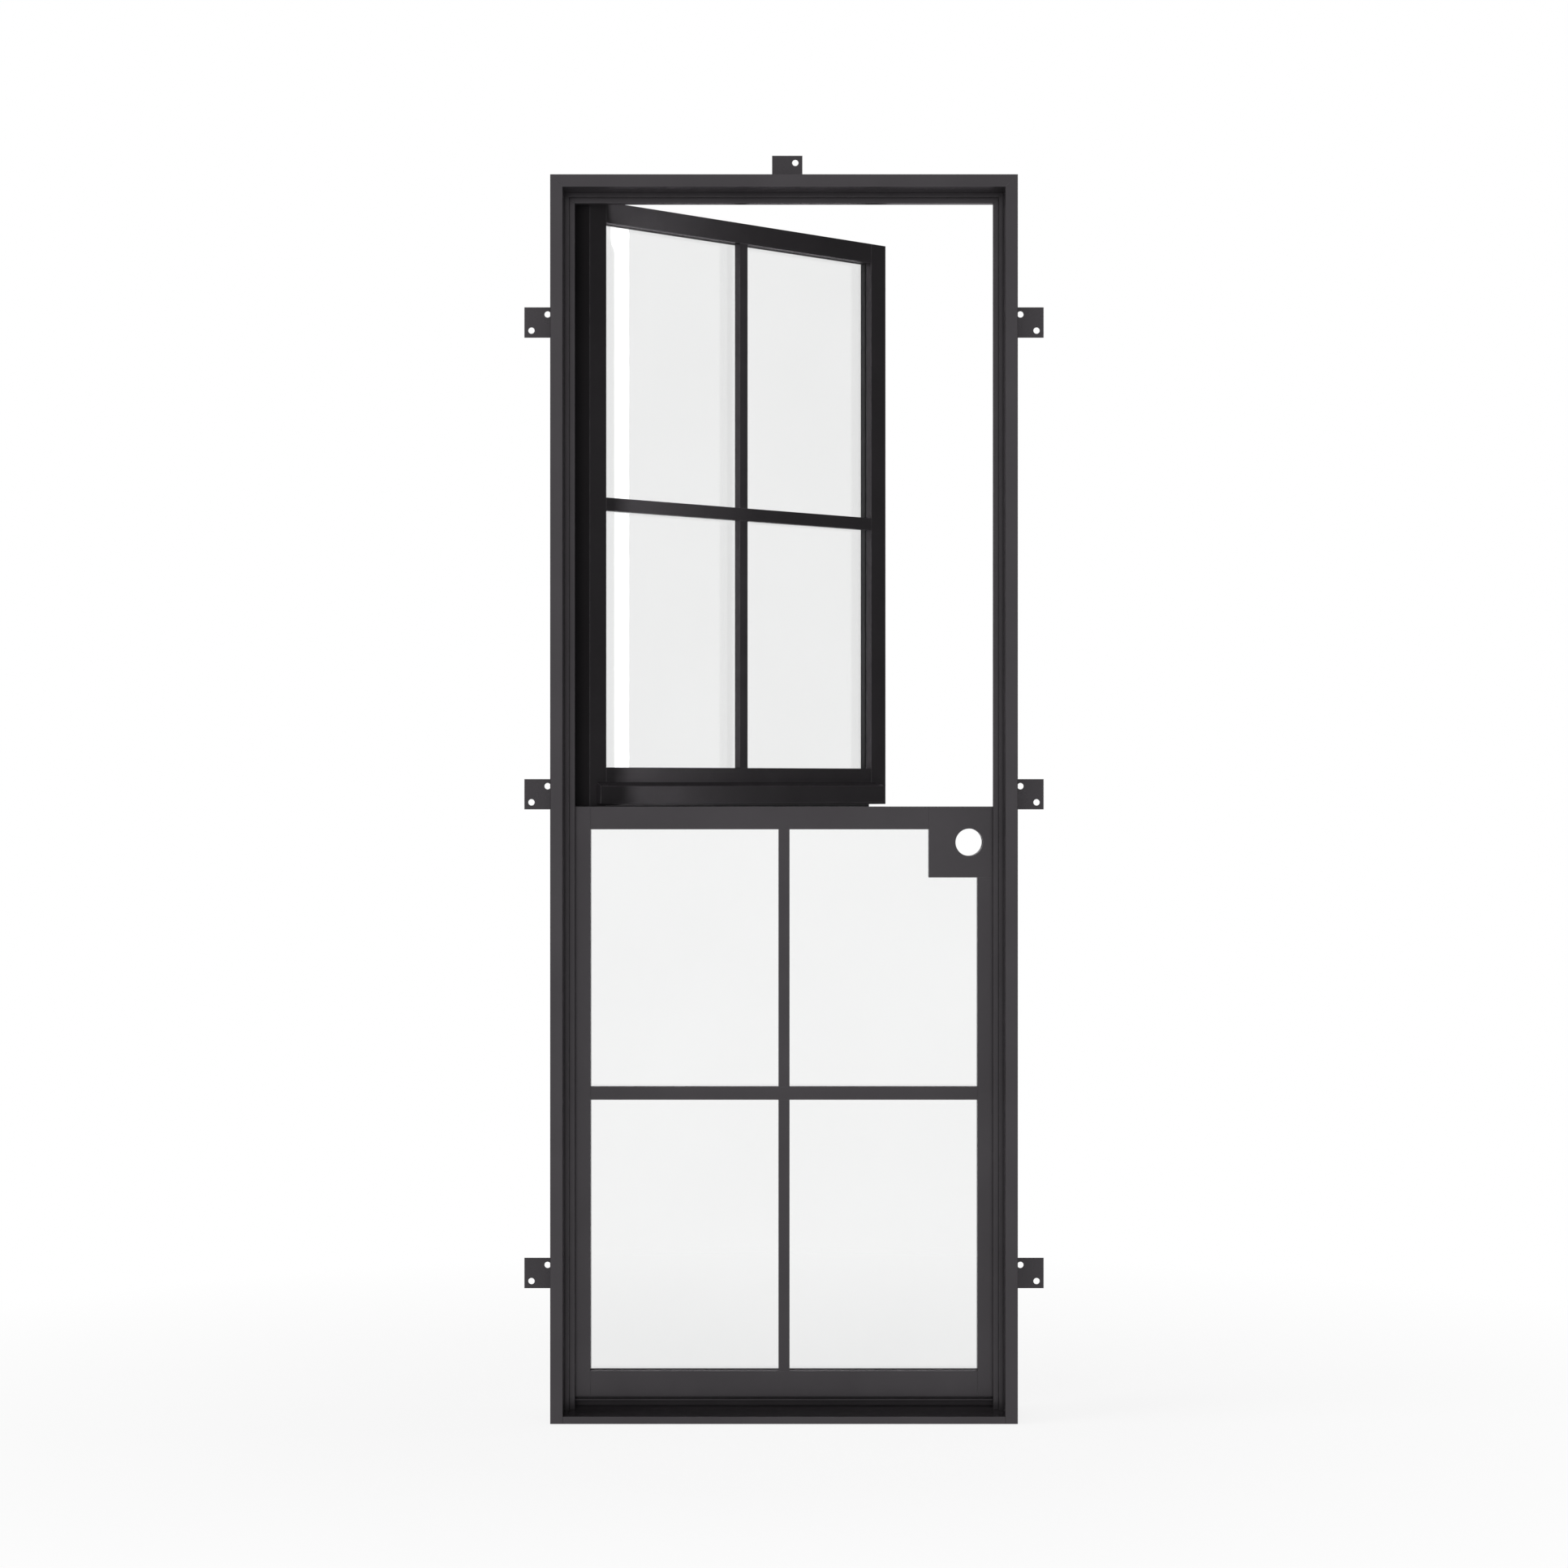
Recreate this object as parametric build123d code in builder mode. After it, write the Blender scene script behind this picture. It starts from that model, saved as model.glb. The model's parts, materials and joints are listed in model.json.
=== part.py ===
from build123d import *
import math
import os

# A steel dutch door: a welded tube frame with two glazed leaves, one above the other, on one hinge line.
# The frame stands on z = 0, centred on x = 0 and on its depth, with the outside at -y.
# Both leaves swing inward, towards +y. The lower leaf is shut and the upper one stands open.

# Frame
frame_width = 908.0
frame_height = 2426.0
frame_depth = 152.0
face_width = 24.5
frame_wall = 2.0
frame_edge = 1.5

# Stepped stop that the leaves close against
step_width = 7.5
step_depth = 10.0
stop_width = 11.0
stop_depth = 30.0
stop_wall = 1.5

# Rubber seals on the back of the stop
seal_width = 8.0
seal_gap = 0.3
seal_round_share = 0.45

# Sill with a raised threshold under the leaves
sill_height = 14.0
threshold_rise = 10.5
threshold_depth = 27.0

# Fixing tabs
tab_size = 60.0
tab_thickness = 3.0
tab_inset = 14.0
tab_hole_radius = 6.3
tab_hole_inset = 14.0
tab_height_shares = {"bottom": 0.113, "middle": 0.5037, "top": 0.8887}
head_tab_shift = 6.4

# Leaves
leaf_thickness = 48.0
leaf_inset = 1.0
leaf_side_gap = 4.0
leaf_head_gap = 4.0
leaf_seal_gap = 3.0
lower_bottom = 35.7
lower_top = 1197.7
meeting_gap = 1.5
open_angle = 45.0
profile_wall = 2.0
stile_width = 43.9
lower_bottom_rail = 49.9
lower_top_rail = 44.8
upper_bottom_rail = 76.1
upper_top_rail = 40.9

# Glazing
flange_depth = 15.0
gasket_thickness = 2.0
pane_thickness = 4.0
unit_thickness = 18.0
rebate_width = 21.4
pane_cover = 15.0
spacer_width = 12.0
gasket_width = 12.0
bead_depth = 12.0
bead_clearance = 0.2
bead_taper = 45.0

# Glazing bars
upright_bar_width = 22.0
cross_bar_width = 25.7
lower_cross_share = 0.5128
upper_cross_share = 0.4835
tape_inset = 4.0

# Lock box in the lower leaf's upper latch corner
lock_reach = 96.0
lock_drop = 94.9
lock_wall = 3.0
lock_bore_radius = 27.0
lock_backset = 60.5
lock_bore_drop = 70.4
latch_bore_radius = 12.7
strike_height = 57.0
strike_depth = 25.0

# Drip bar on the outside of the upper leaf
drip_end_gap = 18.5
drip_rise = 3.8
drip_height = 43.0
drip_projection = 12.0
drip_slope = 8.0

# Rubber blade that closes the joint between the leaves from the inside
blade_thickness = 3.0
blade_lap = 11.7
blade_height = 50.0
blade_end_gap = 2.0
clamp_thickness = 3.0
clamp_height = 28.0

# Sweep under the lower leaf
sweep_lip = 3.0
sweep_lip_drop = 5.5
sweep_neck_width = 24.0
sweep_setback = 1.0
sweep_blade_width = 4.0
sweep_blade_gap = 0.3

# Barrel hinges
hinge_offset_x = 3.3
hinge_offset_y = 10.4
barrel_radius = 8.5
barrel_length = 55.0
barrel_end = 8.0
barrel_edge = 1.2
pin_radius = 5.0
pin_clearance = 0.05
pin_tip_gap = 3.0
washer_thickness = 1.5
wing_thickness = 4.0
frame_wing_length = 22.0
leaf_wing_length = 40.0
hinge_setback = 150.0

# Slide bolt that ties the leaves together on the inside
bolt_setback = 73.5
bolt_radius = 5.0
bolt_clearance = 0.05
bolt_length = 69.0
bolt_standoff = 8.0
bolt_lift = 4.0
bolt_edge = 1.0
guide_width = 34.0
guide_height = 16.0
guide_edge = 2.0
keeper_drop = 13.0
keeper_height = 26.0
keeper_clearance = 0.6
knob_gap = 0.5
knob_length = 12.0
knob_edge = 2.5

# One overrun serves every cut
overrun = 5.0

# Places worked out from the sizes
front = -frame_depth / 2
back = frame_depth / 2
side = frame_width / 2
inner_side = side - face_width
inner_head = frame_height - face_width
leaf_back = back - leaf_inset
leaf_front = leaf_back - leaf_thickness
stop_back = leaf_front - leaf_seal_gap
stop_front = stop_back - stop_depth
leaf_side = inner_side - leaf_side_gap
upper_bottom = lower_top + meeting_gap
upper_top = inner_head - leaf_head_gap
flange_back = leaf_front + flange_depth
unit_front = flange_back + gasket_thickness
unit_back = unit_front + unit_thickness
sight_side = leaf_side - stile_width
threshold_top = sill_height + threshold_rise
hinge_x = -inner_side + hinge_offset_x
hinge_y = back + hinge_offset_y
lower_hinges = {"hinge_1": lower_bottom + hinge_setback, "hinge_2": lower_top - hinge_setback}
upper_hinges = {"hinge_3": upper_bottom + hinge_setback, "hinge_4": upper_top - hinge_setback}
hinge_heights = {**lower_hinges, **upper_hinges}
lock_side = leaf_side - stile_width - lock_reach
lock_bottom = lower_top - lower_top_rail - lock_drop
lock_centre_x = leaf_side - lock_backset
lock_centre_z = lower_top - lock_bore_drop
bolt_place = leaf_side - bolt_setback
bolt_axis_y = leaf_back + blade_thickness + clamp_thickness + bolt_standoff

# Sight lines of the two glazed openings: bottom and top
lower_sight = (lower_bottom + lower_bottom_rail, lower_top - lower_top_rail)
upper_sight = (upper_bottom + upper_bottom_rail, upper_top - upper_top_rail)
lower_cross = lower_sight[0] + lower_cross_share * (lower_sight[1] - lower_sight[0])
upper_cross = upper_sight[0] + upper_cross_share * (upper_sight[1] - upper_sight[0])


def swung(angle):
    """The door's own axes turned about the hinge line, so that a leaf is drawn as if it were shut."""
    turn = math.radians(angle)
    x = hinge_x - math.cos(turn) * hinge_x + math.sin(turn) * hinge_y
    y = hinge_y - math.sin(turn) * hinge_x - math.cos(turn) * hinge_y
    return Plane(origin=(x, y, 0), x_dir=(math.cos(turn), math.sin(turn), 0), z_dir=(0, 0, 1))


def across(leaf, x):
    """A plane square to the leaf's width, with depth to the right and height upward."""
    return Plane(origin=leaf.from_local_coords((x, 0, 0)), x_dir=leaf.y_dir, z_dir=leaf.x_dir)


def facing(leaf, y):
    """A plane that looks outward at a given depth, with width to the right and height upward."""
    return Plane(origin=leaf.from_local_coords((0, y, 0)), x_dir=leaf.x_dir, z_dir=-leaf.y_dir)


def keep(piece, node):
    piece.part.label = node
    export_step(piece.part, f"parts/{node}.step")


shut = Plane.XY
opened = swung(open_angle)
os.makedirs("parts", exist_ok=True)


# Frame tubes, mitred at the upper corners
def mitre(hand):
    """The cut through an upper corner, facing up and away from the opening."""
    return Plane(origin=(hand * side, 0, frame_height), x_dir=(0, 1, 0), z_dir=(-hand, 0, 1))


def jamb(hand):
    with BuildPart() as tube:
        with BuildSketch(Plane.XY):
            with Locations((hand * (side - face_width / 2), 0)):
                RectangleRounded(face_width, frame_depth, frame_edge)
                Rectangle(face_width - 2 * frame_wall, frame_depth - 2 * frame_wall, mode=Mode.SUBTRACT)
        extrude(amount=frame_height)
        split(bisect_by=mitre(hand), keep=Keep.BOTTOM)
        if hand > 0:
            strike_plane = Plane.YZ.offset(inner_side - overrun)
            with BuildSketch(strike_plane):
                with Locations(((leaf_front + leaf_back) / 2, lock_centre_z)):
                    Rectangle(strike_depth, strike_height)
            extrude(amount=overrun + frame_wall, mode=Mode.SUBTRACT)
    return tube


keep(jamb(-1), "hinge_jamb")
keep(jamb(1), "latch_jamb")

with BuildPart() as head:
    with BuildSketch(Plane.YZ.offset(-side)):
        with Locations((0, frame_height - face_width / 2)):
            RectangleRounded(frame_depth, face_width, frame_edge)
            Rectangle(frame_depth - 2 * frame_wall, face_width - 2 * frame_wall, mode=Mode.SUBTRACT)
    extrude(amount=frame_width)
    split(bisect_by=mitre(-1), keep=Keep.TOP)
    split(bisect_by=mitre(1), keep=Keep.TOP)
keep(head, "head")

# Sill pan between the jambs, with the threshold along its back
with BuildPart() as sill:
    with BuildSketch(Plane.YZ.offset(-inner_side)):
        with BuildLine():
            Polyline(
                (front, 0),
                (back, 0),
                (back, threshold_top),
                (back - threshold_depth, threshold_top),
                (back - threshold_depth, sill_height),
                (front, sill_height),
                close=True,
            )
        make_face()
        offset(amount=-frame_wall, kind=Kind.INTERSECTION, mode=Mode.SUBTRACT)
    extrude(amount=2 * inner_side)
keep(sill, "sill")


# Stepped stops, mitred at the upper corners
def stop_outline():
    """The stop's section, with the frame's inner face at zero and the opening to the right."""
    Polyline(
        (0, stop_front),
        (step_width, stop_front),
        (step_width, stop_front + step_depth),
        (step_width + stop_width, stop_front + step_depth),
        (step_width + stop_width, stop_back),
        (0, stop_back),
        close=True,
    )


def stop_mitre(hand):
    return Plane(origin=(hand * inner_side, 0, inner_head), x_dir=(0, 1, 0), z_dir=(-hand, 0, 1))


with BuildPart() as hinge_stop:
    with BuildSketch(Plane(origin=(-inner_side, 0, sill_height))):
        with BuildLine():
            stop_outline()
        make_face()
        offset(amount=-stop_wall, kind=Kind.INTERSECTION, mode=Mode.SUBTRACT)
    extrude(amount=inner_head - sill_height)
    split(bisect_by=stop_mitre(-1), keep=Keep.BOTTOM)
keep(hinge_stop, "hinge_stop")

with BuildPart() as latch_stop:
    mirror(hinge_stop.part, about=Plane.YZ)
keep(latch_stop, "latch_stop")

with BuildPart() as head_stop:
    with BuildSketch(Plane(origin=(-inner_side, 0, inner_head), x_dir=(0, 0, -1), z_dir=(1, 0, 0))):
        with BuildLine():
            stop_outline()
        make_face()
        offset(amount=-stop_wall, kind=Kind.INTERSECTION, mode=Mode.SUBTRACT)
    extrude(amount=2 * inner_side)
    split(bisect_by=stop_mitre(-1), keep=Keep.TOP)
    split(bisect_by=stop_mitre(1), keep=Keep.TOP)
keep(head_stop, "head_stop")

# Seals between the stop and the leaves
seal_depth = leaf_seal_gap - seal_gap
seal_line = inner_side - step_width - stop_width + seal_width / 2 + stop_wall
seal_head = inner_head - step_width - stop_width + seal_width / 2 + stop_wall


def upright_seal(hand):
    with BuildPart() as seal:
        with BuildSketch(Plane.XY.offset(sill_height)):
            with Locations((hand * seal_line, stop_back + seal_depth / 2)):
                RectangleRounded(seal_width, seal_depth, seal_depth * seal_round_share)
        extrude(amount=inner_head - sill_height)
    return seal


keep(upright_seal(-1), "hinge_seal")
keep(upright_seal(1), "latch_seal")

with BuildPart() as head_seal:
    with BuildSketch(Plane.YZ.offset(-seal_line + seal_width / 2)):
        with Locations((stop_back + seal_depth / 2, seal_head)):
            RectangleRounded(seal_depth, seal_width, seal_depth * seal_round_share)
    extrude(amount=2 * seal_line - seal_width)
keep(head_seal, "head_seal")


# Fixing tabs, each with a hole near two opposite corners
def tab(plane):
    """A tab whose root lies on the plane's origin and which reaches out along its x."""
    pitch = tab_size / 2 - tab_hole_inset
    with BuildPart() as plate:
        with BuildSketch(plane):
            with Locations((tab_size / 2, 0)):
                Rectangle(tab_size, tab_size)
            with Locations((tab_size / 2 - pitch, pitch), (tab_size / 2 + pitch, -pitch)):
                Circle(tab_hole_radius, mode=Mode.SUBTRACT)
        extrude(amount=tab_thickness)
    return plate


tab_back = back - tab_inset
tab_front = tab_back - tab_thickness
for name, share in tab_height_shares.items():
    height = share * frame_height
    left_root = Plane(origin=(-side, tab_front, height), x_dir=(-1, 0, 0), z_dir=(0, 1, 0))
    right_root = Plane(origin=(side, tab_back, height), x_dir=(1, 0, 0), z_dir=(0, -1, 0))
    keep(tab(left_root), f"tab_left_{name}")
    keep(tab(right_root), f"tab_right_{name}")
head_root = Plane(origin=(head_tab_shift, tab_back, frame_height), x_dir=(0, 0, 1), z_dir=(0, -1, 0))
keep(tab(head_root), "tab_head")


# Leaf tubes: stiles run the full height and the rails fit between them
def stile_outline(hand):
    Polyline(
        (hand * leaf_side, leaf_front),
        (hand * sight_side, leaf_front),
        (hand * sight_side, flange_back),
        (hand * (sight_side + rebate_width), flange_back),
        (hand * (sight_side + rebate_width), leaf_back),
        (hand * leaf_side, leaf_back),
        close=True,
    )


def stile(leaf, hand, bottom, top):
    """A hollow stile, capped at the top and open underneath."""
    with BuildPart() as tube:
        with BuildSketch(leaf.offset(bottom)):
            with BuildLine():
                stile_outline(hand)
            make_face()
        extrude(amount=top - bottom)
        with BuildSketch(leaf.offset(bottom)):
            with BuildLine():
                stile_outline(hand)
            make_face()
            offset(amount=-profile_wall, kind=Kind.INTERSECTION, mode=Mode.REPLACE)
        extrude(amount=top - bottom - profile_wall, mode=Mode.SUBTRACT)
    return tube


def rail(leaf, edge, sight, right):
    """A hollow rail from the hinge stile to x = right, notched round the flanges of the stiles."""
    rebate = sight + math.copysign(rebate_width, edge - sight)
    left = -sight_side - rebate_width
    with BuildPart() as tube:
        with BuildSketch(across(leaf, left)):
            with BuildLine():
                Polyline(
                    (leaf_front, edge),
                    (leaf_front, sight),
                    (flange_back, sight),
                    (flange_back, rebate),
                    (leaf_back, rebate),
                    (leaf_back, edge),
                    close=True,
                )
            make_face()
            offset(amount=-profile_wall, kind=Kind.INTERSECTION, mode=Mode.SUBTRACT)
        extrude(amount=right - left)
        with BuildSketch(facing(leaf, flange_back)):
            notch = rebate_width + overrun
            middle = sight_side + notch / 2
            with Locations((-middle, (edge + sight) / 2), (middle, (edge + sight) / 2)):
                Rectangle(notch, abs(edge - sight) + 2 * overrun)
        extrude(amount=flange_depth + overrun, mode=Mode.SUBTRACT)
    return tube


rail_end = sight_side + rebate_width
keep(stile(shut, -1, lower_bottom, lower_top), "lower_hinge_stile")
keep(stile(shut, 1, lower_bottom, lock_bottom), "lower_latch_stile")
keep(rail(shut, lower_bottom, lower_sight[0], rail_end), "lower_bottom_rail")
keep(rail(shut, lower_top, lower_sight[1], lock_side), "lower_top_rail")
keep(stile(opened, -1, upper_bottom, upper_top), "upper_hinge_stile")
keep(stile(opened, 1, upper_bottom, upper_top), "upper_latch_stile")
keep(rail(opened, upper_bottom, upper_sight[0], rail_end), "upper_bottom_rail")
keep(rail(opened, upper_top, upper_sight[1], rail_end), "upper_top_rail")


# Lock box: a hollow corner with a sleeve for the lock and a hole in its edge for the latch
def lock_body_outline():
    rebate_x = lock_side + rebate_width
    rebate_z = lock_bottom + rebate_width
    rail_z = lower_sight[1] + rebate_width
    Polyline(
        (leaf_side, lock_bottom),
        (leaf_side, lower_top),
        (lock_side, lower_top),
        (lock_side, rail_z),
        (rebate_x, rail_z),
        (rebate_x, rebate_z),
        (sight_side + rebate_width, rebate_z),
        (sight_side + rebate_width, lock_bottom),
        close=True,
    )


with BuildPart() as lock_box:
    with BuildSketch(facing(shut, leaf_front)):
        with Locations(((lock_side + leaf_side) / 2, (lock_bottom + lower_top) / 2)):
            Rectangle(leaf_side - lock_side, lower_top - lock_bottom)
    extrude(amount=-flange_depth)
    with BuildSketch(facing(shut, flange_back)):
        with BuildLine():
            lock_body_outline()
        make_face()
    extrude(amount=flange_depth - leaf_thickness)
    with BuildSketch(facing(shut, leaf_front + lock_wall)):
        with BuildLine():
            lock_body_outline()
        make_face()
        offset(amount=-lock_wall, kind=Kind.INTERSECTION, mode=Mode.REPLACE)
        with Locations((lock_centre_x, lock_centre_z)):
            Circle(lock_bore_radius + lock_wall, mode=Mode.SUBTRACT)
    extrude(amount=2 * lock_wall - leaf_thickness, mode=Mode.SUBTRACT)
    with BuildSketch(facing(shut, leaf_front)):
        with Locations((lock_centre_x, lock_centre_z)):
            Circle(lock_bore_radius)
    extrude(amount=-leaf_thickness, mode=Mode.SUBTRACT)
    with BuildSketch(across(shut, lock_centre_x)):
        with Locations(((leaf_front + leaf_back) / 2, lock_centre_z)):
            Circle(latch_bore_radius)
    extrude(amount=lock_backset, mode=Mode.SUBTRACT)
keep(lock_box, "lock_box")


# Glazing: a sealed double unit behind a gasket, held by a bevelled bead
def sight_outline(sight, notched):
    """The glazed opening seen from outside, with a corner taken by the lock box where there is one."""
    bottom, top = sight
    corner = [(sight_side, top)]
    if notched:
        corner = [(sight_side, lock_bottom), (lock_side, lock_bottom), (lock_side, top)]
    Polyline((-sight_side, bottom), (sight_side, bottom), *corner, (-sight_side, top), close=True)


def sheet(leaf, y, thickness, sight, notched, cover):
    """A flat sheet that reaches past the sight line by its cover."""
    with BuildPart() as plate:
        with BuildSketch(facing(leaf, y)):
            with BuildLine():
                sight_outline(sight, notched)
            make_face()
            offset(amount=cover, kind=Kind.INTERSECTION, mode=Mode.REPLACE)
        extrude(amount=-thickness)
    return plate


def ring(leaf, y, thickness, sight, notched, cover, bars):
    """A flat ring outside the sight line, with strips behind the glazing bars where bars are given."""
    with BuildPart() as plate:
        with BuildSketch(facing(leaf, y)):
            with BuildLine():
                sight_outline(sight, notched)
            make_face()
            offset(amount=cover, kind=Kind.INTERSECTION, mode=Mode.REPLACE)
            with BuildLine():
                sight_outline(sight, notched)
            make_face(mode=Mode.SUBTRACT)
            if bars:
                with Locations((0, bars)):
                    Rectangle(2 * sight_side, cross_bar_width - 2 * tape_inset)
                with Locations((0, (sight[0] + sight[1]) / 2)):
                    Rectangle(upright_bar_width - 2 * tape_inset, sight[1] - sight[0])
        extrude(amount=-thickness)
    return plate


def bead(leaf, sight, notched):
    """A bead round the inside of the glass, bevelled back from the sight line."""
    with BuildPart() as frame:
        with BuildSketch(facing(leaf, unit_back)):
            with BuildLine():
                sight_outline(sight, notched)
            make_face()
            offset(amount=rebate_width - bead_clearance, kind=Kind.INTERSECTION, mode=Mode.REPLACE)
        extrude(amount=-bead_depth)
        with BuildSketch(facing(leaf, unit_back)):
            with BuildLine():
                sight_outline(sight, notched)
            make_face()
        extrude(amount=-bead_depth, taper=-bead_taper, mode=Mode.SUBTRACT)
    return frame


def cross_bar(leaf, height):
    with BuildPart() as bar:
        with BuildSketch(facing(leaf, flange_back)):
            with Locations((0, height)):
                Rectangle(2 * sight_side, cross_bar_width)
        extrude(amount=flange_depth)
    return bar


def upright_bars(leaf, sight, height):
    """The two lengths of the upright bar, below and above the cross bar."""
    lower_length = height - cross_bar_width / 2 - sight[0]
    upper_length = sight[1] - height - cross_bar_width / 2
    with BuildPart() as bars:
        with BuildSketch(facing(leaf, flange_back)):
            with Locations((0, sight[0] + lower_length / 2)):
                Rectangle(upright_bar_width, lower_length)
            with Locations((0, sight[1] - upper_length / 2)):
                Rectangle(upright_bar_width, upper_length)
        extrude(amount=flange_depth)
    return bars


def glaze(leaf, prefix, sight, notched, cross):
    spacer_thickness = unit_thickness - 2 * pane_thickness
    spacer_front = unit_front + pane_thickness
    inner_front = spacer_front + spacer_thickness
    keep(cross_bar(leaf, cross), f"{prefix}_cross_bar")
    keep(upright_bars(leaf, sight, cross), f"{prefix}_upright_bars")
    keep(ring(leaf, flange_back, gasket_thickness, sight, notched, gasket_width, cross), f"{prefix}_gasket")
    keep(sheet(leaf, unit_front, pane_thickness, sight, notched, pane_cover), f"{prefix}_outer_pane")
    keep(ring(leaf, spacer_front, spacer_thickness, sight, notched, spacer_width, None), f"{prefix}_spacer")
    keep(sheet(leaf, inner_front, pane_thickness, sight, notched, pane_cover), f"{prefix}_inner_pane")
    keep(bead(leaf, sight, notched), f"{prefix}_bead")


glaze(shut, "lower", lower_sight, True, lower_cross)
glaze(opened, "upper", upper_sight, False, upper_cross)

# Drip bar along the foot of the upper leaf
drip_bottom = upper_bottom + drip_rise
drip_front = leaf_front - drip_projection
drip_end = leaf_side - drip_end_gap
with BuildPart() as drip_bar:
    with BuildSketch(across(opened, -drip_end)):
        with BuildLine():
            Polyline(
                (leaf_front, drip_bottom),
                (leaf_front, drip_bottom + drip_height),
                (drip_front, drip_bottom + drip_height - drip_slope),
                (drip_front, drip_bottom),
                close=True,
            )
        make_face()
    extrude(amount=2 * drip_end)
keep(drip_bar, "drip_bar")

# Rubber blade behind the meeting of the leaves, and the bar that clamps it
blade_bottom = lower_top - blade_lap
blade_top = blade_bottom + blade_height
blade_left = -leaf_side + blade_end_gap
blade_right = leaf_side - sweep_setback
with BuildPart() as meeting_blade:
    with BuildSketch(facing(opened, leaf_back)):
        with Locations(((blade_left + blade_right) / 2, (blade_bottom + blade_top) / 2)):
            Rectangle(blade_right - blade_left, blade_height)
    extrude(amount=-blade_thickness)
keep(meeting_blade, "meeting_blade")

clamp_back = leaf_back + blade_thickness + clamp_thickness
with BuildPart() as blade_clamp:
    with BuildSketch(facing(opened, leaf_back + blade_thickness)):
        with Locations(((blade_left + blade_right) / 2, blade_top - clamp_height / 2)):
            Rectangle(blade_right - blade_left, clamp_height)
    extrude(amount=-clamp_thickness)
keep(blade_clamp, "blade_clamp")

# Sweep under the lower leaf: a holder with a lip, and a rubber blade over the threshold
sweep_end = leaf_side - sweep_setback
lip_top = lower_bottom - sweep_lip_drop
lip_bottom = lip_top - sweep_lip
with BuildPart() as sweep_holder:
    with BuildSketch(across(shut, -sweep_end)):
        with Locations(((leaf_front + leaf_back) / 2, lip_top - sweep_lip / 2)):
            Rectangle(leaf_thickness - 2 * sweep_setback, sweep_lip)
        with Locations(((leaf_front + leaf_back) / 2, lip_top + sweep_lip_drop / 2)):
            Rectangle(sweep_neck_width, sweep_lip_drop)
    extrude(amount=2 * sweep_end)
keep(sweep_holder, "sweep_holder")

sweep_blade_height = lip_bottom - threshold_top - sweep_blade_gap
with BuildPart() as sweep_blade:
    with BuildSketch(across(shut, -sweep_end)):
        with Locations((back - threshold_depth / 2, lip_bottom - sweep_blade_height / 2)):
            Rectangle(sweep_blade_width, sweep_blade_height)
    extrude(amount=2 * sweep_end)
keep(sweep_blade, "sweep_blade")


# Barrel hinges: the frame's half carries the pin, and the leaf's half drops over it onto a washer
def frame_half(height):
    bottom = height - barrel_length
    length = barrel_length - washer_thickness
    with BuildPart() as half:
        with BuildSketch(Plane.XY.offset(bottom)):
            with Locations((hinge_x, hinge_y)):
                Circle(barrel_radius)
        extrude(amount=length)
        chamfer(half.edges().filter_by(GeomType.CIRCLE).group_by(Axis.Z)[0], barrel_edge)
        with BuildSketch(Plane.XY.offset(bottom + barrel_edge)):
            with Locations((hinge_x - frame_wing_length / 2, back + wing_thickness / 2)):
                Rectangle(frame_wing_length, wing_thickness)
        extrude(amount=length - barrel_edge)
        with BuildSketch(Plane.XY.offset(bottom + barrel_end)):
            with Locations((hinge_x, hinge_y)):
                Circle(pin_radius)
        extrude(amount=length, mode=Mode.SUBTRACT)
    return half


def leaf_half(leaf, height):
    with BuildPart() as half:
        with BuildSketch(leaf.offset(height)):
            with Locations((hinge_x, hinge_y)):
                Circle(barrel_radius)
        extrude(amount=barrel_length)
        chamfer(half.edges().filter_by(GeomType.CIRCLE).group_by(Axis.Z)[-1], barrel_edge)
        with BuildSketch(leaf.offset(height)):
            with Locations((hinge_x + leaf_wing_length / 2, leaf_back + wing_thickness / 2)):
                Rectangle(leaf_wing_length, wing_thickness)
        extrude(amount=barrel_length - barrel_edge)
        with BuildSketch(leaf.offset(height)):
            with Locations((hinge_x, hinge_y)):
                Circle(pin_radius)
        extrude(amount=barrel_length - barrel_end, mode=Mode.SUBTRACT)
    return half


for name, height in hinge_heights.items():
    leaf = shut if name in lower_hinges else opened
    keep(frame_half(height), f"{name}_frame_half")
    keep(leaf_half(leaf, height), f"{name}_leaf_half")

with BuildPart() as hinge_pins:
    for height in hinge_heights.values():
        with BuildSketch(Plane.XY.offset(height - barrel_length + barrel_end)):
            with Locations((hinge_x, hinge_y)):
                Circle(pin_radius - pin_clearance)
        extrude(amount=2 * barrel_length - 2 * barrel_end - pin_tip_gap)
keep(hinge_pins, "hinge_pins")

with BuildPart() as hinge_washers:
    for height in hinge_heights.values():
        with BuildSketch(Plane.XY.offset(height - washer_thickness)):
            with Locations((hinge_x, hinge_y)):
                Circle(barrel_radius)
                Circle(pin_radius, mode=Mode.SUBTRACT)
        extrude(amount=washer_thickness)
keep(hinge_washers, "hinge_washers")

# Slide bolt: a guide on the upper leaf, a rod with a knob, and a keeper on the lower leaf
guide_bottom = blade_top - (clamp_height + guide_height) / 2
guide_depth = 2 * bolt_standoff
with BuildPart() as bolt_guide:
    with BuildSketch(opened.offset(guide_bottom)):
        with Locations((bolt_place, bolt_axis_y)):
            Rectangle(guide_width, guide_depth)
            Circle(bolt_radius + bolt_clearance, mode=Mode.SUBTRACT)
    extrude(amount=guide_height)
    chamfer(bolt_guide.faces().sort_by(Axis((0, 0, 0), opened.y_dir))[-1].edges(), guide_edge)
keep(bolt_guide, "bolt_guide")

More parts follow.
